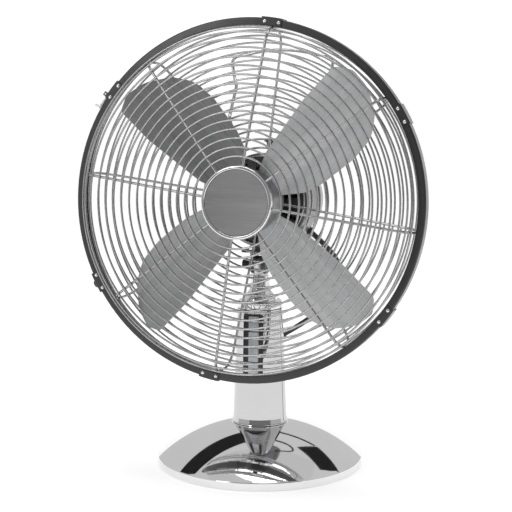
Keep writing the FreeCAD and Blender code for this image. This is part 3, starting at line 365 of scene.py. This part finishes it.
lip = rounded([(BASE_R, LIP_LOW, 0), (BASE_R, LIP_TOP, 0.0016), tuple(dome_arc(BASE_R - 0.02)) + (0,)])[:-1]
outer = [dome_arc(r) for r in [lip[-1].x + (HOLE_R - lip[-1].x) * k / 60 for k in range(1, 61)]]
inner_r = BASE_R - SHEET
inner = [dome_arc(HOLE_R + (inner_r - HOLE_R) * k / 30, SHEET) for k in range(31)]
dome_profile = lip + outer + inner + [Vector((inner_r, LIP_LOW))]
lathe("foot_dome_skin", dome_profile, "stand", "chrome", "foot_dome", segments=360)

# ------------------------------------------------------------------ lead between motor and column


def route_points(controls):
    """Points along the smooth NURBS line through the route."""
    data = bpy.data.curves.new("lead_route", "CURVE")
    data.dimensions = "3D"
    spline = data.splines.new("NURBS")
    spline.points.add(len(controls) - 1)
    for point, spot in zip(spline.points, controls):
        point.co = (*spot, 1.0)
    spline.order_u = 3
    spline.use_endpoint_u = True
    spline.resolution_u = 14
    holder = bpy.data.objects.new("lead_route", data)
    scene.collection.objects.link(holder)
    bpy.context.view_layer.update()
    line = bpy.data.meshes.new_from_object(holder.evaluated_get(bpy.context.evaluated_depsgraph_get()))
    found = [v.co.copy() for v in line.vertices]
    bpy.data.objects.remove(holder)
    return found


def tube(name, points, radius, sides=20):
    """Round jacket along points, capped at both ends."""
    bm = bmesh.new()
    side = None
    rows = []
    for i, here in enumerate(points):
        ahead = points[min(i + 1, len(points) - 1)] - points[max(i - 1, 0)]
        ahead.normalize()
        if side is None:
            side = ahead.orthogonal().normalized()
        side = (side - ahead * side.dot(ahead)).normalized()
        other = ahead.cross(side)
        row = []
        for k in range(sides):
            a = 2 * math.pi * k / sides
            row.append(bm.verts.new(here + (side * math.cos(a) + other * math.sin(a)) * radius))
        rows.append(row)
    for low, high in zip(rows, rows[1:]):
        for k in range(sides):
            bm.faces.new((low[k], low[(k + 1) % sides], high[(k + 1) % sides], high[k]))
    bm.faces.new(list(reversed(rows[0])))
    bm.faces.new(rows[-1])
    bmesh.ops.recalc_face_normals(bm, faces=bm.faces[:])
    data = bpy.data.meshes.new(name)
    bm.to_mesh(data)
    bm.free()
    for polygon in data.polygons:
        polygon.use_smooth = len(polygon.vertices) == 4
    obj = bpy.data.objects.new(name, data)
    scene.collection.objects.link(obj)
    return obj


exit_way = Vector((0.76, 0.12, -0.64))
exit_spot = Vector((29.0, 44.0, -30.0))
start_spot = (exit_spot + exit_way * 4.0) / 1000
second_spot = (exit_spot + exit_way * 24.0) / 1000
LEAD_ROUTE = [
    head_point(*start_spot),
    head_point(*second_spot),
    Vector((0.0695, 0.0510, 0.2030)),
    Vector((0.0700, 0.0495, 0.1810)),
    Vector((0.0580, 0.0460, 0.1590)),
    Vector((0.0380, 0.0380, 0.1405)),
    Vector((0.0135, 0.0230, 0.1265)),
]
line = route_points(LEAD_ROUTE)
split = min(range(len(line)), key=lambda i: (line[i] - LEAD_ROUTE[2]).length)
upper = tube("lead_jacket_upper", line[: split + 1], 0.00275)
lower = tube("lead_jacket_lower", line[split:], 0.00275)
for piece, node in ((upper, "lead_upper"), (lower, "lead_lower")):
    piece.data.materials.append(LOOKS["lead_jacket"])
    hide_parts(node)
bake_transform(upper)
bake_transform(lower)

# ------------------------------------------------------------------ stage, light and camera


def stage_card(name, centre, facing, width, height, colour, strength=0.0):
    """A flat card turned to face a point."""
    data = bpy.data.meshes.new(name)
    w, h = width / 2, height / 2
    data.from_pydata([(-w, -h, 0), (w, -h, 0), (w, h, 0), (-w, h, 0)], [], [(0, 1, 2, 3)])
    obj = bpy.data.objects.new(name, data)
    scene.collection.objects.link(obj)
    obj.location = centre
    obj.rotation_euler = (Vector(facing) - Vector(centre)).to_track_quat("Z", "Y").to_euler()
    mat = bpy.data.materials.new(name)
    mat.use_nodes = True
    bsdf = mat.node_tree.nodes["Principled BSDF"]
    bsdf.inputs["Base Color"].default_value = (*colour, 1)
    bsdf.inputs["Roughness"].default_value = 0.9
    bsdf.inputs["Specular IOR Level"].default_value = 0.0
    if strength:
        bsdf.inputs["Emission Color"].default_value = (1, 1, 1, 1)
        bsdf.inputs["Emission Strength"].default_value = strength
    data.materials.append(mat)
    return obj


def area_light(name, centre, facing, width, height, power):
    data = bpy.data.lights.new(name, "AREA")
    data.shape = "RECTANGLE"
    data.size, data.size_y = width, height
    data.energy = power
    obj = bpy.data.objects.new(name, data)
    scene.collection.objects.link(obj)
    obj.location = centre
    obj.rotation_euler = (Vector(facing) - Vector(centre)).to_track_quat("-Z", "Y").to_euler()
    return obj


AZ = math.radians(17.9)
ELEV = math.radians(8.3)
right = Vector((math.cos(AZ), math.sin(AZ), 0))
ahead = Vector((-math.sin(AZ), math.cos(AZ), 0))


def around(side, back, up):
    """A place given to the right of, behind and above the fan, as the camera sees it."""
    return right * side + ahead * back + Vector((0, 0, up))


DARK = (0.02, 0.02, 0.02)
stage_card("floor", (0, 0, 0), (0, 0, 1), 40.0, 40.0, (0.90, 0.90, 0.90), 0.45)
stage_card("backdrop", around(0, 19.0, 1.5), (0, 0, 1.5), 40.0, 3.2, DARK, 1.1)
stage_card("ceiling", around(0, 0.1, 2.6), (0, 0, 0), 3.0, 2.2, DARK, 0.55)
stage_card("front_wall", around(0, -2.8, 1.7), (0, 0, 1.2), 6.0, 3.4, DARK, 0.22)
stage_card("dark_left", around(-0.75, 1.45, 1.95), (0, 0, 0.1), 2.3, 0.62, DARK)
stage_card("dark_right", around(1.25, 1.25, 1.9), (0, 0, 0.1), 0.9, 0.6, DARK)
stage_card("dark_line", around(0.5, 1.75, 1.62), (0, 0, 0.1), 1.0, 0.08, DARK)

area_light("top_soft", around(0.1, 0.1, 2.4), (0, 0, 0.2), 1.2, 1.0, 12.0)
area_light("left_soft", around(-1.5, -1.6, 1.3), (0, 0, 0.25), 0.5, 1.3, 9.0)

world = bpy.data.worlds.new("studio")
scene.world = world
world.use_nodes = True
world.node_tree.nodes["Background"].inputs["Color"].default_value = (1, 1, 1, 1)
world.node_tree.nodes["Background"].inputs["Strength"].default_value = 0.62

camera_data = bpy.data.cameras.new("camera")
camera_data.sensor_width = 36.0
camera_data.lens = 97.5
camera = bpy.data.objects.new("camera", camera_data)
scene.collection.objects.link(camera)
forward = Vector((-math.sin(AZ) * math.cos(ELEV), math.cos(AZ) * math.cos(ELEV), -math.sin(ELEV)))
target = Vector((0, 0, 0.213)) + right * -0.004
camera.location = target - forward * 1.400
camera.rotation_euler = forward.to_track_quat("-Z", "Y").to_euler()
scene.camera = camera
